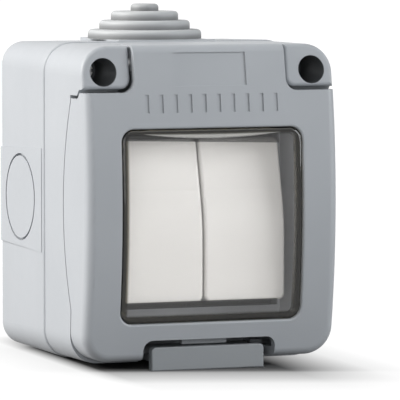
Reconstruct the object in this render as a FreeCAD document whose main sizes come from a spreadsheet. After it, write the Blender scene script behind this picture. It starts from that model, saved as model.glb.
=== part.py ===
import FreeCAD, Part
import os
import re
import Sketcher
from FreeCAD import Placement, Rotation, Vector

# Outdoor surface switch with two rockers under a hinged, windowed lid.
# X runs across, Z runs up and the wall is the plane Y = 0. A depth is measured from the wall
# towards the front, so it runs along -Y. Millimetres and degrees.
SIZES = {
    # Wall box: drafted, so that it is a little smaller at the wall than at its rim.
    "box_width": 68.0,
    "box_height": 80.0,
    "box_depth": 32.3,
    "side_draft": 0.25,
    "end_draft": 0.7,
    "box_corner": 7.5,
    "rear_corner": 6.0,
    "box_wall": 2.4,
    "back_wall": 2.4,
    "rim_lip": 1.1,
    "rim_round": 0.7,
    "pad_rear": 24.3,
    "pad_front": 26.3,
    "pad_gap": 1.3,
    "pad_proud": 0.15,
    "entry_depth": 15.0,
    "entry_radius": 11.15,
    "knockout_groove": 0.9,
    "knockout_line": 0.6,
    "slot_spacing": 40.0,
    "slot_length": 9.0,
    "slot_radius": 2.25,
    "slot_corner": 2.2,
    "boss_radius": 4.2,
    # Stepped cable grommet.
    "tier_low": 14.65,
    "tier_mid": 11.7,
    "tier_high": 8.7,
    "tier_tip": 3.6,
    "tier_height": 2.35,
    "tip_height": 1.9,
    "tier_round": 1.0,
    "grommet_wall": 1.3,
    "grommet_lip": 1.3,
    "grommet_fit": 0.2,
    # Rubber ring between box and frame.
    "seal_height": 2.0,
    "seal_fit": 0.05,
    # Front frame with its two hinge lugs, deck and collar.
    "frame_inset": 0.3,
    "frame_wall": 2.2,
    "deck_depth": 44.0,
    "deck_thickness": 2.5,
    "crown_rise": 4.0,
    "column_radius": 4.6,
    "collar_size": 54.6,
    "collar_wall": 1.7,
    "collar_corner": 5.0,
    "collar_room": 8.3,
    "frame_round": 0.4,
    "seam_back": 1.9,
    "seam_rise": 5.4,
    "seam_half": 26.0,
    "seam_foot": 6.6,
    "lug_width": 13.2,
    "lug_height": 11.0,
    "lug_setback": 1.4,
    "lug_corner": 2.5,
    "lug_round": 1.0,
    "step_back": 5.8,
    "step_drop": 1.5,
    # Screws that hold the frame to the box.
    "screw_side": 6.1,
    "screw_top": 6.7,
    "screw_foot": 5.25,
    "screw_radius": 1.25,
    "screw_head": 2.1,
    "screw_head_height": 2.0,
    "screw_grip": 10.3,
    "screw_fit": 0.05,
    "screw_slot": 0.8,
    "screw_bore": 3.5,
    "screw_hole": 1.45,
    # Lid: a bowed shell, hinged at the lugs.
    "lid_depth": 63.3,
    "lid_top_gap": 0.15,
    "lid_foot": 1.35,
    "lid_wall": 2.2,
    "lid_front": 2.3,
    "lid_round": 2.3,
    "lid_gap": 0.4,
    "crown_gap": 2.0,
    "bow_radius": 200.0,
    "hinge_gap": 0.6,
    "notch_gap": 0.8,
    "hinge_back": 7.0,
    "hinge_drop": 4.5,
    "knuckle_radius": 2.7,
    "knuckle_length": 7.5,
    "pin_radius": 1.2,
    "pin_fit": 0.06,
    "pin_seat": 3.2,
    "pin_reach": 6.5,
    "window_size": 48.5,
    "window_corner": 3.3,
    "window_round": 0.5,
    "gang_up": -5.1,
    "plaque_width": 19.2,
    "plaque_height": 8.3,
    "plaque_drop": 6.2,
    "plaque_sink": 0.35,
    "grip_count": 10,
    "grip_pitch": 3.83,
    "grip_width": 1.0,
    "grip_length": 4.5,
    "grip_drop": 14.65,
    "grip_sink": 0.3,
    "recess_width": 35.4,
    "recess_rise": 6.45,
    "recess_corner": 2.5,
    "catch_width": 12.0,
    "catch_room": 8.3,
    "catch_thickness": 1.4,
    "catch_rise": 0.7,
    "catch_fit": 0.3,
    # Window tray and the ring that closes on the collar.
    "pane_fit": 0.1,
    "pane_recess": 0.25,
    "pane_thickness": 1.3,
    "pane_side": 1.4,
    "pane_round": 0.8,
    "flange_width": 1.6,
    "flange_thickness": 1.2,
    "ring_fit": 0.15,
    # Latch tongue under the lid.
    "tab_width": 30.2,
    "tab_rise": 4.6,
    "tab_fall": 1.4,
    "tab_setback": 4.15,
    "tab_thickness": 2.0,
    "tab_corner": 1.2,
    "tab_round": 0.4,
    "arm_width": 26.0,
    "arm_thickness": 1.8,
    "latch_rise": 2.7,
    "latch_lift": 2.2,
    "latch_barrel": 1.9,
    "latch_slot": 31.2,
    "latch_ear": 3.2,
    "latch_ear_rise": 2.4,
    "latch_ear_length": 5.0,
    "latch_fit": 0.3,
    "trunnion_radius": 1.2,
    "trunnion_length": 2.6,
    # Rockers and what they carry.
    "rocker_width": 21.7,
    "rocker_height": 41.0,
    "rocker_gap": 0.5,
    "rocker_tilt": 7.0,
    "rocker_rise": 9.6,
    "rocker_edge": 3.2,
    "rocker_skirt": 2.2,
    "rocker_heel": 10.0,
    "rocker_wall": 1.5,
    "rocker_skin": 1.7,
    "rocker_ridge": 45.0,
    "rocker_corner": 1.5,
    "rocker_round": 0.8,
    "pivot_rise": 2.6,
    "pivot_radius": 1.8,
    "pivot_fit": 0.06,
    "hub_radius": 3.4,
    "hub_reach": 6.0,
    "plunger_radius": 2.0,
    "plunger_fit": 0.06,
    "plunger_top": 3.6,
    "plunger_reach": 10.45,
    "spring_radius": 1.5,
    "spring_wire": 0.22,
    "spring_turns": 5,
    "spring_roof": 2.0,
    # Carrier plate with the rocker saddles.
    "opening_width": 46.4,
    "opening_height": 43.8,
    "plate_width": 54.4,
    "plate_height": 47.6,
    "plate_thickness": 2.2,
    "plate_fit": 0.3,
    "plate_drop": 0.5,
    "saddle_offset": 5.9,
    "saddle_thickness": 1.5,
    "saddle_half": 3.6,
    "saddle_rise": 2.0,
    "saddle_throat": 1.5,
    "hub_slot_half": 5.2,
    "hub_slot_side": 4.3,
    "plate_screw_inset": 0.5,
    "plate_screw_radius": 1.0,
    "plate_screw_head": 1.9,
    "plate_screw_head_height": 1.6,
    "plate_screw_bite": 2.3,
    # Insulating base with the contact chambers.
    "base_width": 44.0,
    "base_height": 40.0,
    "base_depth": 22.0,
    "chamber_width": 17.0,
    "chamber_height": 33.0,
    "chamber_floor": 10.3,
    "floor_thickness": 3.0,
    "clamp_pitch": 10.5,
    "clamp_size": 6.8,
    "clamp_fit": 0.2,
    "base_screw_up": 13.0,
    "base_screw_radius": 1.0,
    "base_screw_head": 1.9,
    "base_screw_head_height": 1.6,
    "base_screw_web": 8.3,
    "base_screw_bite": 3.4,
    # Contacts: folded brass strips and the rocking blades.
    "strip": 1.0,
    "strip_width": 6.0,
    "knife_radius": 0.6,
    "knife_fit": 0.03,
    "blade_half": 11.4,
    "blade_thickness": 0.8,
    "rivet_radius": 1.4,
    "rivet_height": 0.5,
    "rivet_up": 9.8,
    "contact_gap": 0.3,
    "blade_gap": 0.12,
    "clamp_screw_radius": 1.5,
    "clamp_screw_head": 2.8,
    "clamp_screw_head_height": 1.8,
    "clamp_screw_bite": 2.2,
}

# Places that follow other sizes at a named distance.
PLACES = {
    "pad_length": "(box_depth - pad_gap)",
    "crown_depth": "(deck_depth + crown_rise)",
    "collar_depth": "(lid_depth - collar_room)",
    "seam_depth": "(deck_depth + seam_back)",
    "seam_low": "(deck_depth + seam_foot)",
    "lug_spacing": "(box_width - 2*lug_width)",
    "lug_bottom": "(box_height/2 - lug_height)",
    "step_depth": "(lid_depth - step_back)",
    "screw_spacing": "(box_width - 2*screw_side)",
    "screw_high": "(box_height/2 - screw_top)",
    "screw_low": "(screw_foot - box_height/2)",
    "screw_reach": "(box_depth - screw_grip)",
    "lid_top": "(box_height/2 - lid_top_gap)",
    "lid_bottom": "(lid_foot - box_height/2)",
    "hinge_depth": "(lid_depth - hinge_back)",
    "hinge_up": "(box_height/2 - hinge_drop)",
    "plaque_up": "(box_height/2 - plaque_drop)",
    "grip_up": "(box_height/2 - grip_drop)",
    "recess_top": "(recess_rise - box_height/2)",
    "catch_depth": "(lid_depth - catch_room)",
    "tab_top": "(tab_rise - box_height/2)",
    "tab_bottom": "(-box_height/2 - tab_fall)",
    "tab_depth": "(lid_depth - tab_setback)",
    "latch_depth": "(deck_depth + latch_rise)",
    "latch_up": "(latch_lift - box_height/2)",
    "pivot_depth": "(deck_depth + pivot_rise)",
}

doc = FreeCAD.newDocument("weatherproof_switch")
sheet = doc.addObject("Spreadsheet::Sheet", "Sizes")
for row, (size_name, size) in enumerate(SIZES.items(), start=1):
    sheet.set(f"A{row}", size_name)
    sheet.set(f"B{row}", str(size))
    sheet.setAlias(f"B{row}", size_name)
doc.recompute()

PLANES = {"front": "XZ_Plane", "side": "YZ_Plane", "top": "XY_Plane"}
SAME = 0.01


def bound(formula):
    """Turns a formula of sizes and places into an expression on the sheet."""
    formula = re.sub(r"[a-z_]+", lambda word: PLACES.get(word[0], word[0]), formula)
    return re.sub(r"[a-z_]+", lambda word: f"Sizes.{word[0]}" if word[0] in SIZES else word[0], formula)


def value(formula):
    """Works a formula out as a plain number."""
    result = sheet.evalExpression(bound(formula))
    return float(getattr(result, "Value", result))


def draw(sketch, corners):
    """Draws a closed outline whose corners are formulas (across, up). A third formula is the radius of
    the arc that leaves that corner: counter-clockwise, or clockwise where it is negative."""
    places = [Vector(value(corner[0]), value(corner[1]), 0) for corner in corners]
    first = sketch.GeometryCount
    ends = []
    for corner, here, there in zip(corners, places, places[1:] + places[:1]):
        if len(corner) == 2:
            sketch.addGeometry(Part.LineSegment(here, there))
            ends.append((1, 2))
            continue
        radius = value(corner[2])
        chord = there - here
        rise = max(radius ** 2 - chord.Length ** 2 / 4, 0) ** 0.5
        across = Vector(-chord.y, chord.x, 0).normalize()
        centre = (here + there) / 2 + across * (rise if radius > 0 else -rise)
        circle = Part.Circle(centre, Vector(0, 0, 1), abs(radius))
        begin, end = (here, there) if radius > 0 else (there, here)
        sketch.addGeometry(Part.ArcOfCircle(circle, circle.parameter(begin), circle.parameter(end)))
        ends.append((1, 2) if radius > 0 else (2, 1))
    for index, (corner, place) in enumerate(zip(corners, places)):
        edge = first + index
        before = first + (index - 1) % len(corners)
        last, begin = ends[index - 1][1], ends[index][0]
        sketch.addConstraint(Sketcher.Constraint("Coincident", before, last, edge, begin))
        bind(sketch, Sketcher.Constraint("DistanceX", -1, 1, edge, begin, place.x), corner[0])
        bind(sketch, Sketcher.Constraint("DistanceY", -1, 1, edge, begin, place.y), corner[1])
        if len(corner) == 3:
            bind(sketch, Sketcher.Constraint("Radius", edge, abs(value(corner[2]))), f"abs({corner[2]})")


def bind(sketch, constraint, formula):
    """Adds a dimension to a sketch and ties it to a formula."""
    index = sketch.addConstraint(constraint)
    sketch.setExpression(f"Constraints[{index}]", bound(formula))


def draw_circle(sketch, across, up, radius):
    """Draws a circle whose centre and radius are formulas."""
    centre = Vector(value(across), value(up), 0)
    index = sketch.addGeometry(Part.Circle(centre, Vector(0, 0, 1), value(radius)))
    bind(sketch, Sketcher.Constraint("DistanceX", -1, 1, index, 3, centre.x), across)
    bind(sketch, Sketcher.Constraint("DistanceY", -1, 1, index, 3, centre.y), up)
    bind(sketch, Sketcher.Constraint("Radius", index, value(radius)), radius)


def box(left, right, low, high):
    """A rectangle between four formulas."""
    return [(left, low), (right, low), (right, high), (left, high)]


def rounded(left, right, low, high, radius):
    """A rectangle with four round corners."""
    return [
        (f"({left})+({radius})", low), (f"({right})-({radius})", low, radius),
        (right, f"({low})+({radius})"), (right, f"({high})-({radius})", radius),
        (f"({right})-({radius})", high), (f"({left})+({radius})", high, radius),
        (left, f"({high})-({radius})"), (left, f"({low})+({radius})", radius),
    ]


def centred(half_width, half_height, radius, up="0"):
    """A round-cornered rectangle about X = 0 and a height."""
    low, high = f"({up})-({half_height})", f"({up})+({half_height})"
    return rounded(f"-({half_width})", half_width, low, high, radius)


def circle(across, up, radius):
    """A circle for a sketch."""
    return ("circle", across, up, radius)


def side(corners):
    """Turns corners given as (depth, up) into corners on the side plane, where depth runs to the left."""
    return [(f"-({corner[0]})", corner[1], *(f"-({radius})" for radius in corner[2:])) for corner in corners]


def bow(inset, up):
    """The depth of the bowed front at a height, taken inwards by an inset."""
    return f"(lid_depth - bow_radius + sqrt((bow_radius - ({inset}))^2 - ({up})^2))"


def is_near(first, second):
    """Says whether two lengths are the same."""
    return abs(first - second) < SAME


def runs_along(edge, direction):
    """Says whether an edge is straight and follows a direction."""
    return isinstance(edge.Curve, Part.Line) and abs(edge.Curve.Direction.dot(direction)) > 0.999


def stands_at(edge, across, up):
    """Says whether an edge that follows the depth stands at a distance from X = 0 and a height."""
    middle = edge.CenterOfMass
    return is_near(abs(middle.x), value(across)) and is_near(middle.z, value(up))


DEPTHWISE = Vector(0, 1, 0)


class Piece:
    """One sub-part: a body whose features are outlines moved along the normal of one of its planes."""

    def __init__(self, label):
        self.body = doc.addObject("PartDesign::Body", label)
        self.body.Label = label
        self.volume = 0.0

    def place(self, across, depth, up, tilt=None):
        """Sets the sub-part's own frame: its place, and its turn about X."""
        if tilt:
            self.body.Placement = Placement(Vector(), Rotation(Vector(1, 0, 0), 1))
            self.body.setExpression("Placement.Rotation.Angle", bound(tilt))
        self.body.setExpression("Placement.Base.x", bound(across))
        self.body.setExpression("Placement.Base.y", bound(f"-({depth})"))
        self.body.setExpression("Placement.Base.z", bound(up))

    def sketch(self, plane, start, outlines):
        """Draws outlines on a plane of the body, moved along its normal."""
        sketch = self.body.newObject("Sketcher::SketchObject", f"{self.body.Name}_outline")
        planes = {feature.Role: feature for feature in self.body.Origin.OriginFeatures}
        sketch.AttachmentSupport = (planes[PLANES[plane]], [""])
        sketch.MapMode = "FlatFace"
        sketch.setExpression("AttachmentOffset.Base.z", bound(start))
        for outline in outlines:
            if outline[0] == "circle":
                draw_circle(sketch, *outline[1:])
            else:
                draw(sketch, outline)
        return sketch

    def finish(self, feature, adds):
        """Recomputes the body and makes sure that a feature has added or taken away volume."""
        self.body.Tip = feature
        doc.recompute()
        volume = feature.Shape.Volume
        change = volume - self.volume
        self.volume = volume
        if (change > 0) != adds or abs(change) < 1e-6:
            raise RuntimeError(f"{self.body.Label}: {feature.Name} changed the volume by {change:.4f}")
        return feature

    def extrude(self, kind, plane, start, length, outlines):
        """Moves outlines from a start along the plane's normal."""
        profile = self.sketch(plane, start, outlines)
        feature = self.body.newObject(f"PartDesign::{kind}", f"{self.body.Name}_{kind.lower()}")
        feature.Profile = profile
        feature.setExpression("Length", bound(length))
        feature.Reversed = kind == "Pocket"
        return self.finish(feature, kind == "Pad")

    def add(self, plane, start, length, *outlines):
        """Adds outlines moved along the plane's normal."""
        return self.extrude("Pad", plane, start, length, outlines)

    def cut(self, plane, start, length, *outlines):
        """Cuts outlines moved along the plane's normal."""
        return self.extrude("Pocket", plane, start, length, outlines)

    def loft(self, kind, first, second):
        """Joins two outlines, each given as (start, outline) on the front plane."""
        profile, section = (self.sketch("front", start, [outline]) for start, outline in (first, second))
        feature = self.body.newObject(f"PartDesign::{kind}", f"{self.body.Name}_loft")
        feature.Profile = profile
        feature.Sections = [section]
        return self.finish(feature, kind == "AdditiveLoft")

    def turn(self, plane, outline):
        """Turns an outline about the upright axis of its plane."""
        profile = self.sketch(plane, "0", [outline])
        feature = self.body.newObject("PartDesign::Revolution", f"{self.body.Name}_turned")
        feature.Profile = profile
        feature.ReferenceAxis = (profile, ["V_Axis"])
        return self.finish(feature, True)

    def repeat(self, feature, spacing, count):
        """Repeats a feature across the body."""
        axis = next(item for item in self.body.Origin.OriginFeatures if item.Role == "X_Axis")
        pattern = self.body.newObject("PartDesign::LinearPattern", f"{self.body.Name}_row")
        pattern.Originals = [feature]
        pattern.Direction = (axis, [""])
        pattern.setExpression("Length", bound(f"({spacing}) * (({count}) - 1)"))
        pattern.setExpression("Occurrences", bound(count))
        return self.finish(pattern, feature.TypeId == "PartDesign::Pad")

    def round(self, radius, chosen):
        """Rounds the edges that a test picks."""
        tip = self.body.Tip
        names = [f"Edge{number}" for number, edge in enumerate(tip.Shape.Edges, start=1) if chosen(edge)]
        if not names:
            raise RuntimeError(f"{self.body.Label}: no edge to round")
        fillet = self.body.newObject("PartDesign::Fillet", f"{self.body.Name}_round")
        fillet.Base = (tip, names)
        fillet.setExpression("Radius", bound(radius))
        self.body.Tip = fillet
        doc.recompute()
        self.volume = fillet.Shape.Volume


pieces = []


def piece(label):
    """Starts a sub-part and keeps it for the export."""
    pieces.append(Piece(label))
    return pieces[-1]


HALF_WIDTH = "box_width/2"
HALF_HEIGHT = "box_height/2"
FRAME_X = "(box_width/2 - frame_inset)"
FRAME_Z = "(box_height/2 - frame_inset)"
FRAME_CORNER = "(box_corner - frame_inset)"
DECK_BACK = "(deck_depth - deck_thickness)"
SCREW_SPOTS = [(f"{sign}screw_spacing/2", up) for sign in ("-", "") for up in ("screw_low", "screw_high")]
LUG_X = "(lug_spacing/2)"
TONGUE_X = "(lug_spacing/2 - hinge_gap)"
LUG_STEP = "(lug_bottom - step_drop)"
SEAM_END = "(seam_depth + seam_rise)"
SEAM_RADIUS = "((seam_half^2 + seam_rise^2)/(2*seam_rise))"
GANG_X = "((rocker_width + rocker_gap)/2)"
COLLAR_HALF = "(collar_size/2)"
WINDOW_HALF = "(window_size/2)"
PLATE_BACK = f"({DECK_BACK} - plate_thickness)"
PLATFORM = "(deck_depth - plate_drop)"
PLATE_SCREW_X = "(collar_size/2 - collar_wall - plate_screw_inset)"
BASE_BACK = f"({PLATE_BACK} - base_depth)"
CHAMBER_FLOOR = f"({PLATE_BACK} - chamber_floor)"
CLAMP_FLOOR = f"({CHAMBER_FLOOR} - floor_thickness)"
TILT_SIN = "sin(rocker_tilt * 1deg)"
TILT_COS = "cos(rocker_tilt * 1deg)"
BLADE_FRONT = "(pivot_depth - plunger_reach - blade_gap)"
KNIFE_DEPTH = f"({BLADE_FRONT} - blade_thickness - knife_fit - knife_radius)"
CONTACT_FACE = (
    f"({KNIFE_DEPTH} + (knife_radius + knife_fit - rivet_height)*{TILT_COS}"
    f" - (rivet_up + rivet_radius)*{TILT_SIN} - contact_gap)"
)
SIDES = {"left": "-", "right": ""}
CLAMPS = {"upper": "+ clamp_pitch", "common": "", "lower": "- clamp_pitch"}
PLATE_SCREW_SPOTS = [(f"{sign}{PLATE_SCREW_X}", "gang_up") for sign in SIDES.values()]
PLATE_SCREW_HOLES = [circle(x, up, "plate_screw_radius + screw_fit") for x, up in PLATE_SCREW_SPOTS]
BASE_SCREW_SPOTS = [("0", f"gang_up {sign} base_screw_up") for sign in "+-"]
CLAMP_SCREW_SPOTS = [(f"{sign}{GANG_X}", f"gang_up {offset}")
                     for sign in SIDES.values() for offset in CLAMPS.values()]


def screws(label, spots, seat, towards_wall, head, head_height, shank, reach):
    """A set of like screws along the depth: heads on a seat, shanks reaching on from it."""
    part = piece(label)
    head_start = seat if towards_wall else f"({seat}) - ({head_height})"
    shank_start = f"({seat}) - ({reach})" if towards_wall else seat
    part.add("front", head_start, head_height, *(circle(x, up, head) for x, up in spots))
    part.add("front", shank_start, reach, *(circle(x, up, shank) for x, up in spots))
    slot_start = f"({head_start}) + ({head_height})/2" if towards_wall else head_start
    slot_half = "(screw_slot/2)"
    slots = [box(f"({x})-({head})", f"({x})+({head})", f"({up})-{slot_half}", f"({up})+{slot_half}")
             for x, up in spots]
    part.cut("front", slot_start, f"({head_height})/2", *slots)


def back_box():
    """The wall box: a drafted shell with entry pads, knock-outs, screw bosses and wall slots."""
    part = piece("back_box")
    rear = centred(f"{HALF_WIDTH} - side_draft", f"{HALF_HEIGHT} - end_draft", "rear_corner")
    rim = centred(HALF_WIDTH, HALF_HEIGHT, "box_corner")
    part.loft("AdditiveLoft", ("0", rear), ("box_depth", rim))
    for wide, half in ((True, HALF_WIDTH), (False, HALF_HEIGHT)):
        ends = []
        for start, width in (("0", "pad_rear"), ("pad_length", "pad_front")):
            far, near = f"{half} + pad_proud", f"{width}/2"
            across, up = (far, near) if wide else (near, far)
            ends.append((start, box(f"-({across})", across, f"-({up})", up)))
        part.loft("AdditiveLoft", *ends)
    inner_x, inner_z = f"{HALF_WIDTH} - box_wall", f"{HALF_HEIGHT} - box_wall"
    drafted = "(1 - back_wall/box_depth)"
    inner_rear = centred(f"{inner_x} - side_draft*{drafted}", f"{inner_z} - end_draft*{drafted}",
                         "rear_corner - box_wall")
    inner_rim = centred(inner_x, inner_z, "box_corner - box_wall")
    part.loft("SubtractiveLoft", ("back_wall", inner_rear), ("box_depth", inner_rim))
    part.add("front", "back_wall/2", "box_depth - seal_height - back_wall/2",
             *(circle(x, up, "boss_radius") for x, up in SCREW_SPOTS))
    part.cut("front", "box_depth - seal_height", "seal_height",
             centred(f"{HALF_WIDTH} - rim_lip", f"{HALF_HEIGHT} - rim_lip", "box_corner - rim_lip"))
    part.cut("front", "screw_reach - screw_radius", "box_depth",
             *(circle(x, up, "screw_radius + screw_fit") for x, up in SCREW_SPOTS))
    slots = [rounded(f"{sign}slot_spacing/2 - slot_length/2", f"{sign}slot_spacing/2 + slot_length/2",
                     "-slot_radius", "slot_radius", "slot_corner") for sign in SIDES.values()]
    part.cut("front", "0", "back_wall", *slots)
    part.cut("top", "0", "box_height", circle("0", "-entry_depth", "entry_radius + grommet_fit"))
    ring_length = "box_wall - pad_proud + knockout_groove"
    knockouts = (("side", HALF_WIDTH, ("-entry_depth", "0")), ("top", HALF_HEIGHT, ("0", "-entry_depth")))
    for plane, half, place in knockouts:
        rings = [circle(*place, "entry_radius"), circle(*place, "entry_radius - knockout_line")]
        part.cut(plane, f"-({half} + box_wall)", ring_length, *rings)
        if plane == "side":
            part.cut(plane, f"{half} + pad_proud - knockout_groove", ring_length, *rings)
    rim_depth, half_width, half_height = value("box_depth"), value(HALF_WIDTH), value(HALF_HEIGHT)
    part.round("rim_round", lambda edge: is_near(edge.BoundBox.YMin, -rim_depth)
               and is_near(edge.BoundBox.YMax, -rim_depth)
               and any(is_near(abs(corner.X), half_width) or is_near(abs(corner.Z), half_height)
                       for corner in edge.Vertexes))


def cable_grommet():
    """The stepped rubber cable entry: a hollow stack of tiers that snaps into the top of the box."""
    part = piece("cable_grommet")
    part.place("0", "entry_depth", f"{HALF_HEIGHT} + pad_proud")
    tiers = ["tier_low", "tier_mid", "tier_high", "tier_tip"]
    tops = ["tier_height", "2*tier_height", "3*tier_height", "3*tier_height + tip_height"]
    inside = "(box_wall + pad_proud + end_draft + grommet_fit)"
    outline = [("tier_tip - grommet_wall", "3*tier_height - grommet_wall"),
               ("entry_radius - grommet_wall", "0"),
               ("entry_radius - grommet_wall", f"-{inside} - grommet_lip"),
               ("entry_radius", f"-{inside} - grommet_lip"),
               ("entry_radius + grommet_lip/2", f"-{inside} - grommet_lip/2"),
               ("entry_radius + grommet_lip/2", f"-{inside}"),
               ("entry_radius", f"-{inside}"), ("entry_radius", "0"), ("tier_low", "0")]
    for index, (tier, top) in enumerate(zip(tiers, tops)):
        outline += [(tier, f"{top} - tier_round", "tier_round"), (f"{tier} - tier_round", top)]
        if index < 3:
            outline.append((tiers[index + 1], top))
    outline.append(("0", tops[3]))
    outline.append(("0", "3*tier_height + tip_height - grommet_wall"))
    outline.append(("tier_tip - grommet_wall", "3*tier_height + tip_height - grommet_wall"))
    part.turn("front", outline)


def box_seal():
    """The rubber ring in the rim of the box."""
    part = piece("box_seal")
    outer = "(rim_lip + seal_fit)"
    part.add("front", "box_depth - seal_height", "seal_height",
             centred(f"{HALF_WIDTH} - {outer}", f"{HALF_HEIGHT} - {outer}", f"box_corner - {outer}"),
             centred(f"{HALF_WIDTH} - box_wall", f"{HALF_HEIGHT} - box_wall", "box_corner - box_wall"))


def front_frame():
    """The front half of the housing: side walls with a curved seam, hinge lugs, deck and collar."""
    part = piece("front_frame")
    part.add("front", "box_depth", "lid_depth - box_depth", centred(FRAME_X, FRAME_Z, FRAME_CORNER))
    rim_depth = value("box_depth")
    part.round("frame_round", lambda edge: is_near(edge.BoundBox.YMin, -rim_depth))
    beyond = "(lid_depth + box_wall)"
    part.cut("side", "-box_width", "2*box_width", side([
        (beyond, "-box_height"), ("seam_low", "-box_height"), ("seam_low", f"-{FRAME_Z}"),
        (SEAM_END, "-seam_half", f"-{SEAM_RADIUS}"), (SEAM_END, "seam_half"), (SEAM_END, LUG_STEP),
        ("step_depth - step_drop", LUG_STEP), ("step_depth", "lug_bottom"),
        (bow("lug_setback", "lug_bottom"), "lug_bottom", "bow_radius - lug_setback"),
        (bow("lug_setback", "box_height"), "box_height"), (beyond, "box_height")]))
    part.cut("front", "crown_depth", "lid_depth", [
        (f"-{LUG_X} - lug_corner", "lug_bottom", "lug_corner"), (f"-{LUG_X}", "lug_bottom + lug_corner"),
        (f"-{LUG_X}", "box_height"), (LUG_X, "box_height"),
        (LUG_X, "lug_bottom + lug_corner", "lug_corner"), (f"{LUG_X} + lug_corner", "lug_bottom"),
        (f"{LUG_X} + lug_corner", LUG_STEP), (f"-{LUG_X} - lug_corner", LUG_STEP)])
    inner_x, inner_z = f"({FRAME_X} - frame_wall)", f"({FRAME_Z} - frame_wall)"
    inner_corner = f"({FRAME_CORNER} - frame_wall)"
    part.cut("front", "deck_depth", "lid_depth", [
        (f"-{inner_x} + {inner_corner}", f"-{inner_z}"),
        (f"{inner_x} - {inner_corner}", f"-{inner_z}", inner_corner),
        (inner_x, f"-{inner_z} + {inner_corner}"), (inner_x, LUG_STEP), (LUG_X, LUG_STEP), (LUG_X, inner_z),
        (f"-{LUG_X}", inner_z), (f"-{LUG_X}", LUG_STEP), (f"-{inner_x}", LUG_STEP),
        (f"-{inner_x}", f"-{inner_z} + {inner_corner}", inner_corner)])
    setback = value("bow_radius - lug_setback")
    lug_fronts = [face for face in part.body.Tip.Shape.Faces
                  if isinstance(face.Surface, Part.Cylinder) and is_near(face.Surface.Radius, setback)]
    lug_edges = [edge for face in lug_fronts for edge in face.Edges]
    part.round("lug_round", lambda edge: any(edge.isSame(other) for other in lug_edges))
    part.cut("front", "box_depth", f"{DECK_BACK} - box_depth", centred(inner_x, inner_z, inner_corner))
    part.add("front", "box_depth", f"{DECK_BACK} - box_depth",
             *(circle(x, up, "column_radius") for x, up in SCREW_SPOTS))
    collar_inner = f"({COLLAR_HALF} - collar_wall)"
    part.add("front", "deck_depth", "collar_depth - deck_depth",
             centred(COLLAR_HALF, COLLAR_HALF, "collar_corner", "gang_up"),
             centred(collar_inner, collar_inner, "collar_corner - collar_wall", "gang_up"))
    opening = box("-opening_width/2", "opening_width/2",
                  "gang_up - opening_height/2", "gang_up + opening_height/2")
    part.cut("front", DECK_BACK, "deck_thickness", opening)
    part.cut("front", "box_depth", "deck_depth - box_depth",
             *(circle(x, up, "screw_hole") for x, up in SCREW_SPOTS))
    part.cut("front", "deck_depth", "lid_depth",
             *(circle(f"{sign}screw_spacing/2", "screw_high", "screw_bore") for sign in SIDES.values()))
    part.cut("front", DECK_BACK, "plate_screw_bite", *PLATE_SCREW_HOLES)
    part.cut("side", f"-({LUG_X} + pin_seat)", f"2*({LUG_X} + pin_seat)",
             circle("-hinge_depth", "hinge_up", "pin_radius + screw_fit"))
    part.cut("front", "deck_depth + latch_fit", "lid_depth",
             box("-latch_slot/2", "latch_slot/2", f"-{HALF_HEIGHT}", f"-{inner_z}"))
    ear = side(box("deck_depth", "deck_depth + latch_ear_length",
                   f"-{FRAME_Z} + frame_wall/2", "latch_up + latch_ear_rise"))
    for start in ("latch_slot/2", "-(latch_slot/2 + latch_ear)"):
        part.add("side", start, "latch_ear", ear)
    part.cut("side", "-(latch_slot/2 + latch_ear)", "latch_slot + 2*latch_ear",
             circle("-latch_depth", "latch_up", "trunnion_radius + pin_fit"))


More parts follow.
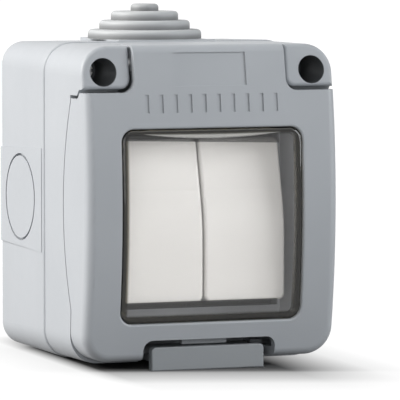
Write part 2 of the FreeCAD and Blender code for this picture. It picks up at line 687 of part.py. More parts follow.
def lid():
    """The bowed lid: a shell notched round the hinge lugs, with window, plaque, grips and latch recess."""
    part = piece("lid")
    seam_end = f"({SEAM_END} + lid_gap)"
    part.add("side", f"-{FRAME_X}", f"2*{FRAME_X}", side([
        ("crown_depth + crown_gap", "lid_top"), (bow("0", "lid_top"), "lid_top", "-bow_radius"),
        (bow("0", "lid_bottom"), "lid_bottom"), ("seam_low + lid_gap", "lid_bottom"),
        (seam_end, "-seam_half", f"-{SEAM_RADIUS}"), (seam_end, "seam_half")]))
    part.round(FRAME_CORNER, lambda edge: runs_along(edge, DEPTHWISE))
    front_edges = bowed_face(part, "0").Edges
    part.round("lid_round", lambda edge: any(edge.isSame(other) for other in front_edges))
    inner_x = f"({FRAME_X} - lid_wall)"
    low, high = "(lid_bottom + lid_wall)", "(lid_top - lid_wall)"
    part.cut("side", f"-{inner_x}", f"2*{inner_x}", side([
        ("deck_depth", low), (bow("lid_front", low), low, "bow_radius - lid_front"),
        (bow("lid_front", high), high), ("deck_depth", high)]))
    part.round(f"{FRAME_CORNER} - lid_wall",
               lambda edge: runs_along(edge, DEPTHWISE) and stands_at(edge, inner_x, low))
    notch, step = "(lug_bottom - notch_gap)", f"({LUG_STEP} - notch_gap)"
    for start in (TONGUE_X, f"-({TONGUE_X} + box_width)"):
        part.cut("side", start, "box_width", side([
            ("box_depth", step), ("step_depth - step_drop + lid_gap", step), ("step_depth + lid_gap", notch),
            ("2*lid_depth", notch), ("2*lid_depth", "box_height"), ("box_depth", "box_height")]))
    part.round("lug_corner + hinge_gap",
               lambda edge: runs_along(edge, DEPTHWISE) and stands_at(edge, TONGUE_X, notch))
    part.cut("front", "deck_depth", "lid_depth",
             centred(WINDOW_HALF, WINDOW_HALF, "window_corner", "gang_up"))
    part.cut("front", "deck_depth", "lid_depth", [
        ("-recess_width/2", "-box_height"), ("recess_width/2", "-box_height"),
        ("recess_width/2", "recess_top - recess_corner", "recess_corner"),
        ("recess_width/2 - recess_corner", "recess_top"),
        ("-recess_width/2 + recess_corner", "recess_top", "recess_corner"),
        ("-recess_width/2", "recess_top - recess_corner")])
    part.cut("side", "-plaque_width/2", "plaque_width", sunk("plaque_sink", "plaque_up", "plaque_height"))
    grip = part.cut("side", "-grip_pitch*(grip_count - 1)/2 - grip_width/2", "grip_width",
                    sunk("grip_sink", "grip_up", "grip_length"))
    part.repeat(grip, "grip_pitch", "grip_count")
    for start in (f"{TONGUE_X} - knuckle_length", f"-{TONGUE_X}"):
        part.add("side", start, "knuckle_length", circle("-hinge_depth", "hinge_up", "knuckle_radius"))
    for start in (f"{TONGUE_X} - pin_reach - pin_fit", f"-{TONGUE_X}"):
        part.cut("side", start, "pin_reach + pin_fit",
                 circle("-hinge_depth", "hinge_up", "pin_radius + pin_fit"))
    hook, root = "(tab_top + catch_fit)", bow("lid_front/2", "recess_top")
    part.add("side", "-catch_width/2", "catch_width", side([
        ("catch_depth", hook), ("catch_depth + catch_thickness", hook),
        ("catch_depth + catch_thickness", "recess_top"), (root, "recess_top"),
        (root, "recess_top + catch_rise"), ("catch_depth", "recess_top + catch_rise")]))
    front_edges = [edge for edge in bowed_face(part, "0").Edges if is_window_edge(edge)]
    part.round("window_round", lambda edge: any(edge.isSame(other) for other in front_edges))


def is_window_edge(edge):
    """Says whether an edge of the lid's front belongs to the window opening."""
    half, middle = value(WINDOW_HALF), value("gang_up")
    inside = edge.BoundBox
    return (inside.XMax < half + SAME and inside.XMin > -half - SAME
            and inside.ZMax < middle + half + SAME and inside.ZMin > middle - half - SAME)


def bowed_face(part, inset):
    """Finds the largest face that follows the bowed front at an inset."""
    radius = value(f"bow_radius - ({inset})")
    faces = [face for face in part.body.Tip.Shape.Faces
             if isinstance(face.Surface, Part.Cylinder) and is_near(face.Surface.Radius, radius)]
    return max(faces, key=lambda face: face.Area)


def sunk(sink, up, height):
    """An outline on the side plane that sinks evenly below the bowed front about a height."""
    low, high = f"({up} - {height}/2)", f"({up} + {height}/2)"
    return side([(bow(sink, low), low, f"bow_radius - {sink}"), (bow(sink, high), high),
                 ("2*lid_depth", high), ("2*lid_depth", low)])


def layer(outer, inner, half_height):
    """An outline on the side plane between two insets of the bowed front, about the window's middle."""
    low, high = f"(gang_up - ({half_height}))", f"(gang_up + ({half_height}))"
    return side([(bow(outer, low), low, f"bow_radius - ({outer})"), (bow(outer, high), high),
                 (bow(inner, high), high, f"-(bow_radius - ({inner}))"), (bow(inner, low), low)])


def window():
    """The clear tray in the lid: a bowed pane with thin sides and a flange behind the lid's front."""
    part = piece("window")
    seat = "(lid_front + seal_fit)"
    flange_back = f"({seat} + flange_thickness)"
    pane_half = f"({WINDOW_HALF} - pane_fit)"
    flange_half = f"({WINDOW_HALF} + flange_width)"
    part.add("side", f"-{pane_half}", f"2*{pane_half}", layer("pane_recess", flange_back, pane_half))
    part.round("window_corner - pane_fit", lambda edge: runs_along(edge, DEPTHWISE))
    front_edges = bowed_face(part, "pane_recess").Edges
    part.round("pane_round", lambda edge: any(edge.isSame(other) for other in front_edges))
    part.add("side", f"-{flange_half}", f"2*{flange_half}", layer(seat, flange_back, flange_half))
    flange_x = value(flange_half)
    part.round("window_corner", lambda edge: runs_along(edge, DEPTHWISE)
               and is_near(abs(edge.CenterOfMass.x), flange_x))
    hollow = f"({pane_half} - pane_side)"
    part.cut("side", f"-{hollow}", f"2*{hollow}",
             layer("pane_recess + pane_thickness", f"{flange_back} + flange_thickness", hollow))
    hollow_x = value(hollow)
    part.round("window_corner - pane_side", lambda edge: runs_along(edge, DEPTHWISE)
               and is_near(abs(edge.CenterOfMass.x), hollow_x))


def lid_seal():
    """The rubber ring behind the lid's front, closing on the frame's collar."""
    part = piece("lid_seal")
    inner = f"({WINDOW_HALF} + flange_width + ring_fit)"
    part.add("front", "collar_depth + ring_fit", "lid_depth - collar_depth",
             centred(COLLAR_HALF, COLLAR_HALF, "collar_corner", "gang_up"),
             centred(inner, inner, "window_corner + ring_fit", "gang_up"))
    seat = "lid_front + seal_fit"
    part.cut("side", "-box_width", "2*box_width", side([
        (bow(seat, "-box_height"), "-box_height", f"bow_radius - ({seat})"),
        (bow(seat, "box_height"), "box_height"),
        ("2*lid_depth", "box_height"), ("2*lid_depth", "-box_height")]))


def hinge_pins():
    """Two steel pins, pressed into the lugs and running in the lid's knuckles."""
    part = piece("hinge_pins")
    for start in (f"{TONGUE_X} - pin_reach", f"-({LUG_X} + pin_seat)"):
        part.add("side", start, "pin_reach + hinge_gap + pin_seat",
                 circle("-hinge_depth", "hinge_up", "pin_radius"))


def lid_latch():
    """The latch tongue: a press tab on a springy arm that turns at its root."""
    part = piece("lid_latch")
    half = "(tab_width/2)"
    tab_back = "(tab_depth - tab_thickness)"
    part.add("front", tab_back, "tab_thickness", [
        (f"-{half}", "tab_bottom"), (half, "tab_bottom"), (half, "tab_top - tab_corner", "tab_corner"),
        (f"{half} - tab_corner", "tab_top"), (f"-{half} + tab_corner", "tab_top", "tab_corner"),
        (f"-{half}", "tab_top - tab_corner")])
    front = value("tab_depth")
    part.round("tab_round", lambda edge: is_near(edge.BoundBox.YMax, -front))
    part.add("side", "-arm_width/2", "arm_width", side(box(
        "latch_depth", f"{tab_back} + tab_thickness/2", "latch_up - arm_thickness", "latch_up")))
    barrel_half = "(latch_slot/2 - latch_fit)"
    part.add("side", f"-{barrel_half}", f"2*{barrel_half}",
             circle("-latch_depth", "latch_up", "latch_barrel"))
    pin_half = f"({barrel_half} + trunnion_length)"
    part.add("side", f"-{pin_half}", f"2*{pin_half}", circle("-latch_depth", "latch_up", "trunnion_radius"))


def mechanism_plate():
    """The carrier plate: a flange behind the deck, a platform through it, two saddles for each rocker."""
    part = piece("mechanism_plate")
    part.add("front", PLATE_BACK, "plate_thickness",
             centred("plate_width/2", "plate_height/2", "rocker_corner", "gang_up"))
    platform = centred("opening_width/2 - plate_fit", "opening_height/2 - plate_fit",
                       "rocker_corner", "gang_up")
    part.add("front", DECK_BACK, "deck_thickness - plate_drop", platform)
    for sign in SIDES.values():
        middle = f"{sign}{GANG_X}"
        saddle = side(box(PLATFORM, "pivot_depth + saddle_rise",
                          "gang_up - saddle_half", "gang_up + saddle_half"))
        throat = side(box("pivot_depth", "pivot_depth + 2*saddle_rise",
                          "gang_up - saddle_throat", "gang_up + saddle_throat"))
        for offset in ("-", "+"):
            start = f"{middle} {offset} saddle_offset - saddle_thickness/2"
            part.add("side", start, "saddle_thickness", saddle)
        reach = "(saddle_offset + saddle_thickness)"
        part.cut("side", f"{middle} - {reach}", f"2*{reach}",
                 circle("-pivot_depth", "gang_up", "pivot_radius + pivot_fit"))
        part.cut("side", f"{middle} - {reach}", f"2*{reach}", throat)
        hub_slot = box(f"{middle} - hub_slot_side", f"{middle} + hub_slot_side",
                       "gang_up - hub_slot_half", "gang_up + hub_slot_half")
        part.cut("front", PLATE_BACK, "deck_depth - plate_drop", hub_slot)
    part.cut("front", PLATE_BACK, "plate_thickness", *PLATE_SCREW_HOLES)
    part.cut("front", PLATE_BACK, "base_screw_bite + screw_fit",
             *(circle(x, up, "base_screw_radius + screw_fit") for x, up in BASE_SCREW_SPOTS))


def mechanism_base():
    """The insulating base: two open chambers in front, six clamp pockets behind."""
    part = piece("mechanism_base")
    part.add("front", BASE_BACK, "base_depth",
             centred("base_width/2", "base_height/2", "rocker_corner", "gang_up"))
    chambers, pockets, passes = [], [], []
    for sign in SIDES.values():
        middle = f"{sign}{GANG_X}"
        chambers.append(box(f"{middle} - chamber_width/2", f"{middle} + chamber_width/2",
                            "gang_up - chamber_height/2", "gang_up + chamber_height/2"))
        for name, offset in CLAMPS.items():
            half = "(clamp_size/2 + clamp_fit)"
            up = f"gang_up {offset}"
            pockets.append(box(f"{middle} - {half}", f"{middle} + {half}",
                               f"{up} - {half}", f"{up} + {half}"))
            outward = "-" if name == "lower" else "+"
            leg_ends = [f"{up} {outward} {half}", f"{up} {outward} ({half} - strip - 2*clamp_fit)"]
            leg_half = "(strip_width/2 + clamp_fit)"
            low, high = sorted(leg_ends, key=value)
            passes.append(box(f"{middle} - {leg_half}", f"{middle} + {leg_half}", low, high))
    part.cut("front", CHAMBER_FLOOR, "chamber_floor", *chambers)
    part.cut("front", BASE_BACK, f"{CLAMP_FLOOR} - {BASE_BACK}", *pockets)
    part.cut("front", CLAMP_FLOOR, "floor_thickness", *passes)
    part.cut("front", CLAMP_FLOOR, "clamp_screw_bite",
             *(circle(x, up, "clamp_screw_radius + screw_fit") for x, up in CLAMP_SCREW_SPOTS))
    part.cut("front", BASE_BACK, "base_depth",
             *(circle(x, up, "base_screw_radius + screw_fit") for x, up in BASE_SCREW_SPOTS))
    part.cut("front", BASE_BACK, "base_depth - base_screw_web",
             *(circle(x, up, "base_screw_head + clamp_fit") for x, up in BASE_SCREW_SPOTS))


def rocker(name, sign):
    """A rocker: a hollow shell with a soft ridge, a pivot bar and a tube for the plunger."""
    part = piece(f"rocker_{name}")
    part.place(f"{sign}{GANG_X}", "pivot_depth", "gang_up", "-rocker_tilt")
    half, width = "(rocker_height/2)", "(rocker_width/2)"
    slope = "tan(rocker_tilt * 1deg)"
    edge_front = f"(rocker_rise - {half}*{slope})"
    part.add("side", f"-{width}", "rocker_width", side([
        ("rocker_rise", "0"), (edge_front, half), (f"{edge_front} - rocker_edge", half),
        ("-rocker_skirt", "rocker_heel/2"), ("-rocker_skirt", "-rocker_heel/2"),
        (f"{edge_front} - rocker_edge", f"-{half}"), (edge_front, f"-{half}")]))
    front = value(edge_front)
    part.round("rocker_ridge", lambda edge: is_near(edge.CenterOfMass.y, -value("rocker_rise")))
    part.round("rocker_corner", lambda edge: runs_along(edge, DEPTHWISE))
    part.round("rocker_round", lambda edge: edge.CenterOfMass.y < -front + SAME
               and not runs_along(edge, Vector(1, 0, 0)) or is_near(edge.CenterOfMass.y, -front))
    inner, inner_half = f"({width} - rocker_wall)", f"({half} - rocker_wall)"
    roof = "(rocker_rise - rocker_skin - rocker_ridge*(1/cos(rocker_tilt * 1deg) - 1))"
    part.cut("side", f"-{inner}", f"2*{inner}", side([
        (roof, "0"), (f"{roof} - {inner_half}*{slope}", inner_half), ("-2*rocker_skirt", inner_half),
        ("-2*rocker_skirt", f"-{inner_half}"), (f"{roof} - {inner_half}*{slope}", f"-{inner_half}")]))
    part.add("side", f"-{inner} - rocker_wall/2", f"2*{inner} + rocker_wall",
             circle("0", "0", "pivot_radius"))
    part.add("front", "-hub_reach", f"hub_reach + {roof} + rocker_skin/2", circle("0", "0", "hub_radius"))
    part.cut("front", "-hub_reach", "hub_reach + spring_roof",
             circle("0", "0", "plunger_radius + plunger_fit"))


def plunger(name, sign):
    """The round-nosed pin in a rocker's tube."""
    part = piece(f"plunger_{name}")
    part.place(f"{sign}{GANG_X}", "pivot_depth", "gang_up", "-rocker_tilt")
    part.turn("top", [("0", "plunger_top"), ("plunger_radius", "plunger_top"),
                      ("plunger_radius", "plunger_reach - plunger_radius", "plunger_radius"),
                      ("0", "plunger_reach")])


def plunger_spring(name, sign):
    """The coil spring between a plunger and the roof of its tube."""
    part = piece(f"plunger_spring_{name}")
    part.place(f"{sign}{GANG_X}", "pivot_depth", "gang_up", "-rocker_tilt")
    wire = part.sketch("top", "0", [circle("spring_radius", "-spring_roof + 2*spring_wire", "spring_wire")])
    coil = part.body.newObject("PartDesign::AdditiveHelix", f"{part.body.Name}_coil")
    coil.Profile = wire
    coil.ReferenceAxis = (wire, ["V_Axis"])
    coil.Mode = "height-turns-angle"
    coil.setExpression("Height", bound("spring_roof + plunger_top - 4*spring_wire"))
    coil.setExpression("Turns", bound("spring_turns"))
    part.finish(coil, True)


def contact_blade(name, sign):
    """A rocking brass blade with a contact rivet at each end."""
    part = piece(f"contact_blade_{name}")
    part.place(f"{sign}{GANG_X}", KNIFE_DEPTH, "gang_up", "rocker_tilt")
    seat = "(knife_radius + knife_fit)"
    part.add("front", seat, "blade_thickness", centred("strip_width/2", "blade_half", "strip"))
    part.add("front", f"{seat} - rivet_height", "rivet_height",
             *(circle("0", f"{sign_up}rivet_up", "rivet_radius") for sign_up in SIDES.values()))


def common_terminal(name, sign):
    """A folded brass strip: clamp plate behind, leg through the floor, round-topped knife in front."""
    part = piece(f"common_terminal_{name}")
    half = "(clamp_size/2)"
    up = "gang_up"
    part.add("side", f"{sign}{GANG_X} - strip_width/2", "strip_width", side([
        (CLAMP_FLOOR, f"{up} - {half}"), (CLAMP_FLOOR, f"{up} + {half} - strip"),
        (CHAMBER_FLOOR, f"{up} + {half} - strip"), (CHAMBER_FLOOR, f"{up} - knife_radius"),
        (KNIFE_DEPTH, f"{up} - knife_radius", "knife_radius"),
        (f"{KNIFE_DEPTH} + knife_radius", up, "knife_radius"), (KNIFE_DEPTH, f"{up} + knife_radius"),
        (f"{CHAMBER_FLOOR} + strip", f"{up} + knife_radius"), (f"{CHAMBER_FLOOR} + strip", f"{up} + {half}"),
        (f"{CLAMP_FLOOR} - strip", f"{up} + {half}"), (f"{CLAMP_FLOOR} - strip", f"{up} - {half}")]))
    clamp_hole(part, sign, up)


def clamp_hole(part, sign, up):
    """The hole for the clamp screw in a terminal's rear plate."""
    part.cut("front", f"{CLAMP_FLOOR} - strip", "strip",
             circle(f"{sign}{GANG_X}", up, "clamp_screw_radius + screw_fit"))


def outer_terminal(level, name, sign):
    """A folded brass strip like the common one, whose front end is a step with a contact rivet."""
    part = piece(f"{level}_terminal_{name}")
    outward = "+" if level == "upper" else "-"
    up = f"gang_up {outward} clamp_pitch"
    half = "(clamp_size/2)"
    top = f"({CONTACT_FACE} - rivet_height)"
    inner = f"gang_up {outward} (rivet_up - rivet_radius - strip)"
    outer = f"gang_up {outward} (rivet_up + rivet_radius)"
    inward = "-" if outward == "+" else "+"
    leg_out, leg_in = f"{up} {outward} {half}", f"{up} {outward} ({half} - strip)"
    part.add("side", f"{sign}{GANG_X} - strip_width/2", "strip_width", side([
        (f"{CLAMP_FLOOR} - strip", f"{up} {inward} {half}"), (CLAMP_FLOOR, f"{up} {inward} {half}"),
        (CLAMP_FLOOR, leg_in), (CHAMBER_FLOOR, leg_in), (CHAMBER_FLOOR, inner), (top, inner), (top, outer),
        (f"{top} - strip", outer), (f"{top} - strip", f"{inner} {outward} strip"),
        (f"{CHAMBER_FLOOR} + strip", f"{inner} {outward} strip"), (f"{CHAMBER_FLOOR} + strip", leg_out),
        (f"{CLAMP_FLOOR} - strip", leg_out)]))
    part.add("front", top, "rivet_height",
             circle(f"{sign}{GANG_X}", f"gang_up {outward} rivet_up", "rivet_radius"))
    clamp_hole(part, sign, up)


back_box()
cable_grommet()
box_seal()
front_frame()
screws("cover_screws", SCREW_SPOTS, "deck_depth", True, "screw_head", "screw_head_height", "screw_radius",
       "deck_depth - screw_reach")
lid()
window()
lid_seal()
hinge_pins()
lid_latch()
mechanism_plate()
screws("plate_screws", PLATE_SCREW_SPOTS, PLATE_BACK, False, "plate_screw_head", "plate_screw_head_height",
       "plate_screw_radius", "plate_thickness + plate_screw_bite - screw_fit")
mechanism_base()
screws("base_screws", BASE_SCREW_SPOTS, f"{PLATE_BACK} - base_screw_web", False, "base_screw_head",
       "base_screw_head_height", "base_screw_radius", "base_screw_web + base_screw_bite")
for side_name, side_sign in SIDES.items():
    rocker(side_name, side_sign)
    plunger(side_name, side_sign)
    plunger_spring(side_name, side_sign)
    contact_blade(side_name, side_sign)
    common_terminal(side_name, side_sign)
    outer_terminal("upper", side_name, side_sign)
    outer_terminal("lower", side_name, side_sign)
screws("terminal_screws", CLAMP_SCREW_SPOTS, f"{CLAMP_FLOOR} - strip", False, "clamp_screw_head",
       "clamp_screw_head_height", "clamp_screw_radius", "strip + clamp_screw_bite - screw_fit")

doc.recompute()
for item in doc.Objects:
    if "Invalid" in item.State or "Error" in item.State:
        raise RuntimeError(f"{item.Label} did not recompute: {item.State}")
for made in pieces:
    shape = made.body.Shape
    if shape.isNull() or not shape.isValid():
        raise RuntimeError(f"{made.body.Label} is not a valid solid")
os.makedirs("parts", exist_ok=True)
for made in pieces:
    made.body.Shape.exportStep(f"parts/{made.body.Label}.step")
    bounds = made.body.Shape.BoundBox
    print(f"{made.body.Label}: {len(made.body.Shape.Solids)} solid(s), {made.body.Shape.Volume:.1f} mm3, "
          f"x {bounds.XMin:.2f} {bounds.XMax:.2f}, y {bounds.YMin:.2f} {bounds.YMax:.2f}, "
          f"z {bounds.ZMin:.2f} {bounds.ZMax:.2f}")
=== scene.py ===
import math

import bmesh
import bpy
from mathutils import Matrix, Vector

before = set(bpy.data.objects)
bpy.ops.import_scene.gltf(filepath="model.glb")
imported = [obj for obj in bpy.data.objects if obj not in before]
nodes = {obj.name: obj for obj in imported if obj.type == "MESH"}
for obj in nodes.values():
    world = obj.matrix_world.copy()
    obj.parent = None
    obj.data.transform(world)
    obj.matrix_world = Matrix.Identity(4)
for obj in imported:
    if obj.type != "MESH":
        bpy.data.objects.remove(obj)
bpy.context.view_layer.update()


# Wall box: the drafted rear half of the housing, which carries the cable entries.
# It is moulded in one piece from light grey plastic with a fine spark-eroded grain,
# and two screws through its back hold it to the wall.
MM = 0.001
NOISE_DETAIL = 3.0
NOISE_ROUGHNESS = 0.55
SPREAD_ENDS = (0.3, 0.7)
FLOW_PER_METRE = 40.0
GLOSS_PER_METRE = 160.0
GRAIN_PER_METRE = 2600.0
GRAIN_DETAIL = 2.0
GRAIN_STRENGTH = 0.35


def add_node(tree, kind, values=None, **settings):
    """Adds a shader node and sets its properties and input values."""
    made = tree.nodes.new(f"ShaderNode{kind}")
    for name, setting in settings.items():
        setattr(made, name, setting)
    for name, value in (values or {}).items():
        made.inputs[name].default_value = value
    return made


def start_finish(name, values=None):
    """Starts a material and returns it with its node tree, its shader and its object coordinates."""
    material = bpy.data.materials.new(name)
    material.use_nodes = True
    tree = material.node_tree
    shader = tree.nodes["Principled BSDF"]
    for socket, value in (values or {}).items():
        shader.inputs[socket].default_value = value
    coordinates = add_node(tree, "TexCoord").outputs["Object"]
    return material, tree, shader, coordinates


def cloud(tree, coordinates, per_metre, detail=NOISE_DETAIL):
    """Soft noise with a number of blotches to the metre."""
    noise = add_node(tree, "TexNoise", {
        "Scale": per_metre, "Detail": detail, "Roughness": NOISE_ROUGHNESS})
    tree.links.new(coordinates, noise.inputs["Vector"])
    return noise.outputs["Fac"]


def bands(tree, factor, stops):
    """Turns a factor into a row of levels or colours, each at its place from nought to one."""
    ramp = add_node(tree, "ValToRGB")
    elements = ramp.color_ramp.elements
    for place, _ in stops[1:-1]:
        elements.new(place)
    for element, (place, level) in zip(elements, stops):
        element.position = place
        element.color = (*level, 1.0) if isinstance(level, tuple) else (level, level, level, 1.0)
    tree.links.new(factor, ramp.inputs["Fac"])
    return ramp.outputs["Color"]


def spread(tree, factor, low, high):
    """Stretches noise between two levels or two colours."""
    return bands(tree, factor, tuple(zip(SPREAD_ENDS, (low, high))))


def grain(tree, shader, factor, strength, depth):
    """Raises noise as a shallow grain on a surface."""
    bump = add_node(tree, "Bump", {"Strength": strength, "Distance": depth})
    tree.links.new(factor, bump.inputs["Height"])
    tree.links.new(bump.outputs["Normal"], shader.inputs["Normal"])


def moulded(name, dark, light, smooth, rough, depth):
    """Moulded plastic or rubber: faint flow clouds in its colour, uneven gloss and a fine grain."""
    material, tree, shader, coordinates = start_finish(name)
    colour = spread(tree, cloud(tree, coordinates, FLOW_PER_METRE), dark, light)
    tree.links.new(colour, shader.inputs["Base Color"])
    gloss = spread(tree, cloud(tree, coordinates, GLOSS_PER_METRE), smooth, rough)
    tree.links.new(gloss, shader.inputs["Roughness"])
    dots = cloud(tree, coordinates, GRAIN_PER_METRE, GRAIN_DETAIL)
    grain(tree, shader, dots, GRAIN_STRENGTH, depth)
    return material


def dress(material, *names):
    """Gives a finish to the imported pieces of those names."""
    for name in names:
        nodes[name].data.materials.clear()
        nodes[name].data.materials.append(material)


housing_grey = moulded("housing_grey", dark=(0.359, 0.376, 0.398), light=(0.381, 0.398, 0.420),
                       smooth=0.42, rough=0.52, depth=0.02 * MM)
dress(housing_grey, "back_box")


# Cable grommet: the stepped entry on top, cut open at the tier that fits the cable.
# It is moulded from soft grey rubber and snaps into the round hole in the box.
# Each tier is painted paler at its rounded edge and darker towards its foot, as painted shade.
GROMMET_FOOT = 40.2 * MM
TIER_HEIGHT = 2.35 * MM
TIER_PAINTED_SHADE = ((0.0, 0.26), (0.3, 0.42), (0.65, 0.80), (0.9, 1.0))


def places_on(tree):
    """Splits the object coordinates of a finish into X, Y and Z."""
    split = add_node(tree, "SeparateXYZ")
    tree.links.new(tree.nodes["Texture Coordinate"].outputs["Object"], split.inputs["Vector"])
    return split.outputs


def feed(tree, socket, value):
    """Sets a socket to a number, or links it to another socket."""
    if isinstance(value, float):
        socket.default_value = value
    else:
        tree.links.new(value, socket)


def reckon(tree, operation, *values):
    """Works one sum on sockets and numbers."""
    worked = add_node(tree, "Math", operation=operation)
    for socket, value in zip(worked.inputs, values):
        feed(tree, socket, value)
    return worked.outputs["Value"]


def along(tree, place, start, end):
    """How far a place lies between two others, as a share."""
    return reckon(tree, "DIVIDE", reckon(tree, "SUBTRACT", place, start), end - start)


def darken(tree, share):
    """Multiplies the colour of a finish by a share."""
    colour = tree.nodes["Principled BSDF"].inputs["Base Color"]
    darker = add_node(tree, "VectorMath", operation="MULTIPLY")
    tree.links.new(colour.links[0].from_socket, darker.inputs[0])
    tree.links.new(share, darker.inputs[1])
    tree.links.new(darker.outputs["Vector"], colour)


grommet_rubber = moulded("grommet_rubber", dark=(0.44, 0.452, 0.46), light=(0.47, 0.482, 0.49),
                         smooth=0.5, rough=0.62, depth=0.02 * MM)
tree = grommet_rubber.node_tree
# Painted shade: each tier darkens from its rounded edge down to its foot.
tiers = along(tree, places_on(tree)["Z"], GROMMET_FOOT, GROMMET_FOOT + TIER_HEIGHT)
darken(tree, bands(tree, reckon(tree, "FRACT", tiers), TIER_PAINTED_SHADE))
dress(grommet_rubber, "cable_grommet")


# Box seal and lid seal: two rubber rings, one in the rim of the box and one behind the lid.
# They are cut from black rubber and pressed into place.
seal_rubber = moulded("seal_rubber", dark=(0.012, 0.012, 0.012), light=(0.022, 0.022, 0.022),
                      smooth=0.55, rough=0.7, depth=0.03 * MM)
dress(seal_rubber, "box_seal", "lid_seal")


# Front frame, lid and latch: the front half of the housing with its two hinge lugs, the bowed lid
# that swings from them, and the tongue that holds the lid shut. All three are moulded from the grey
# plastic of the box; the screw bores in the lugs and the whole latch are darkened as painted shade.
BORE_SIDE = 27.9 * MM
BORE_HEIGHT = 33.3 * MM
BORE_RADIUS = 3.53 * MM
BORE_PAINTED_SHADE = 0.28


def blend(tree, share, start, end):
    """Passes from one socket or number to another as a share goes from nought to one."""
    passed = add_node(tree, "MapRange")
    for name, value in (("Value", share), ("To Min", start), ("To Max", end)):
        feed(tree, passed.inputs[name], value)
    return passed.outputs["Result"]


dress(housing_grey, "lid")
# The frame's copy of the grey gets painted shade inside the screw bores of the lugs.
frame_grey_bore_shade = housing_grey.copy()
frame_grey_bore_shade.name = "frame_grey_bore_shade"
tree = frame_grey_bore_shade.node_tree
places = places_on(tree)
aside = reckon(tree, "SUBTRACT", reckon(tree, "ABSOLUTE", places["X"]), BORE_SIDE)
above = reckon(tree, "SUBTRACT", places["Z"], BORE_HEIGHT)
from_axis = reckon(tree, "SQRT", reckon(tree, "ADD", reckon(tree, "MULTIPLY", aside, aside),
                                        reckon(tree, "MULTIPLY", above, above)))
darken(tree, blend(tree, reckon(tree, "LESS_THAN", from_axis, BORE_RADIUS), 1.0, BORE_PAINTED_SHADE))
dress(frame_grey_bore_shade, "front_frame")
# The latch is the box's grey plastic, darkened as painted shade for the shade it sits in under the lid.
latch_shaded_grey = moulded("latch_shaded_grey", dark=(0.252, 0.266, 0.279), light=(0.268, 0.282, 0.295),
                     smooth=0.42, rough=0.52, depth=0.02 * MM)
dress(latch_shaded_grey, "lid_latch")


# Screws, pins and springs: the cover screws, the small screws and springs of the mechanism and
# the hinge pins. They are turned, rolled or coiled from steel and zinc plated.
METAL_GRAIN = 0.02 * MM


def bare_metal(name, dark, light, roughness, blotches, scratches, strength):
    """Metal with cloudy patches and fine scratches, both by their number to the metre."""
    material, tree, shader, coordinates = start_finish(name, {"Roughness": roughness, "Metallic": 1.0})
    colour = spread(tree, cloud(tree, coordinates, blotches), dark, light)
    tree.links.new(colour, shader.inputs["Base Color"])
    grain(tree, shader, cloud(tree, coordinates, scratches), strength, METAL_GRAIN)
    return material


zinc_plate = bare_metal("zinc_plate", dark=(0.5, 0.5, 0.5), light=(0.66, 0.66, 0.66),
                        roughness=0.3, blotches=700.0, scratches=4000.0, strength=0.3)
dress(zinc_plate, "cover_screws", "plate_screws", "base_screws", "hinge_pins",
      "plunger_spring_left", "plunger_spring_right")


# Window: the clear tray set into the lid, with a bowed pane in front. It is moulded from clear
# plastic and clipped in from behind. Its rim is darkened as painted shade, a bowed band along its
# top is a painted reflection, and the gaps above and below the rockers are painted dark as shade.
WINDOW_HEIGHT = -4.9 * MM
WINDOW_HALF = 24.15 * MM
WINDOW_RIPPLE = 120.0
RIPPLE_STRENGTH = 0.05
RIPPLE_DEPTH = 0.05 * MM
RIM_WIDTH = 2.1
RIM_SHADE_BANDS = ((0.0, 0.10), (0.9, 0.07), (1.45, 0.12), (1.85, 0.85), (RIM_WIDTH, 1.0))
WINDOW_TINT = (1.0, 0.985, 0.978)
RIM_SHADE_POWERS = (1.0, 1.05, 1.22)
SHEEN_TOP = 17.9 * MM
SHEEN_DEPTH = 1.3 * MM
SHEEN_HALF = 18.5 * MM
SHEEN_SHARE = 0.35
SHEEN_COLOUR = (0.8, 0.785, 0.75, 1.0)
SWELL_PEAK = 0.25
THINNEST_BOW = 0.001
GAP_LOW = 15.7 * MM
GAP_RIGHT = 17.8 * MM
GAP_SLOPE = 0.028
GAP_SHADE = 0.7
UNDER_TOP = -23.9 * MM
UNDER_LOW = -25.5 * MM
SHADOW_TINT = (0.96, 0.96, 0.955, 1.0)


def either_shader(tree, share, first, second):
    """Mixes two shaders by a share."""
    mixed = add_node(tree, "MixShader")
    for socket, value in zip(mixed.inputs, (share, first, second)):
        tree.links.new(value, socket)
    return mixed.outputs["Shader"]


window_clear, tree, shader, coordinates = start_finish("window_clear", {
    "Roughness": 0.02, "Transmission Weight": 1.0, "IOR": 1.49})
grain(tree, shader, cloud(tree, coordinates, WINDOW_RIPPLE), RIPPLE_STRENGTH, RIPPLE_DEPTH)
places = places_on(tree)
furthest = reckon(tree, "MAXIMUM", reckon(tree, "ABSOLUTE", places["X"]), reckon(
    tree, "ABSOLUTE", reckon(tree, "SUBTRACT", places["Z"], WINDOW_HEIGHT)))
# Painted shade: the rim darkens towards the pane's edge, where its thick sides lose the light behind the
# lid.
rim_shade_stops = tuple((distance / RIM_WIDTH,
                   tuple(tint * level ** shade_power for tint, shade_power in zip(WINDOW_TINT, RIM_SHADE_POWERS)))
                  for distance, level in RIM_SHADE_BANDS)
rim_shade_ramp = bands(tree, along(tree, furthest, WINDOW_HALF, WINDOW_HALF - RIM_WIDTH * MM), rim_shade_stops)
tree.links.new(rim_shade_ramp, shader.inputs["Base Color"])
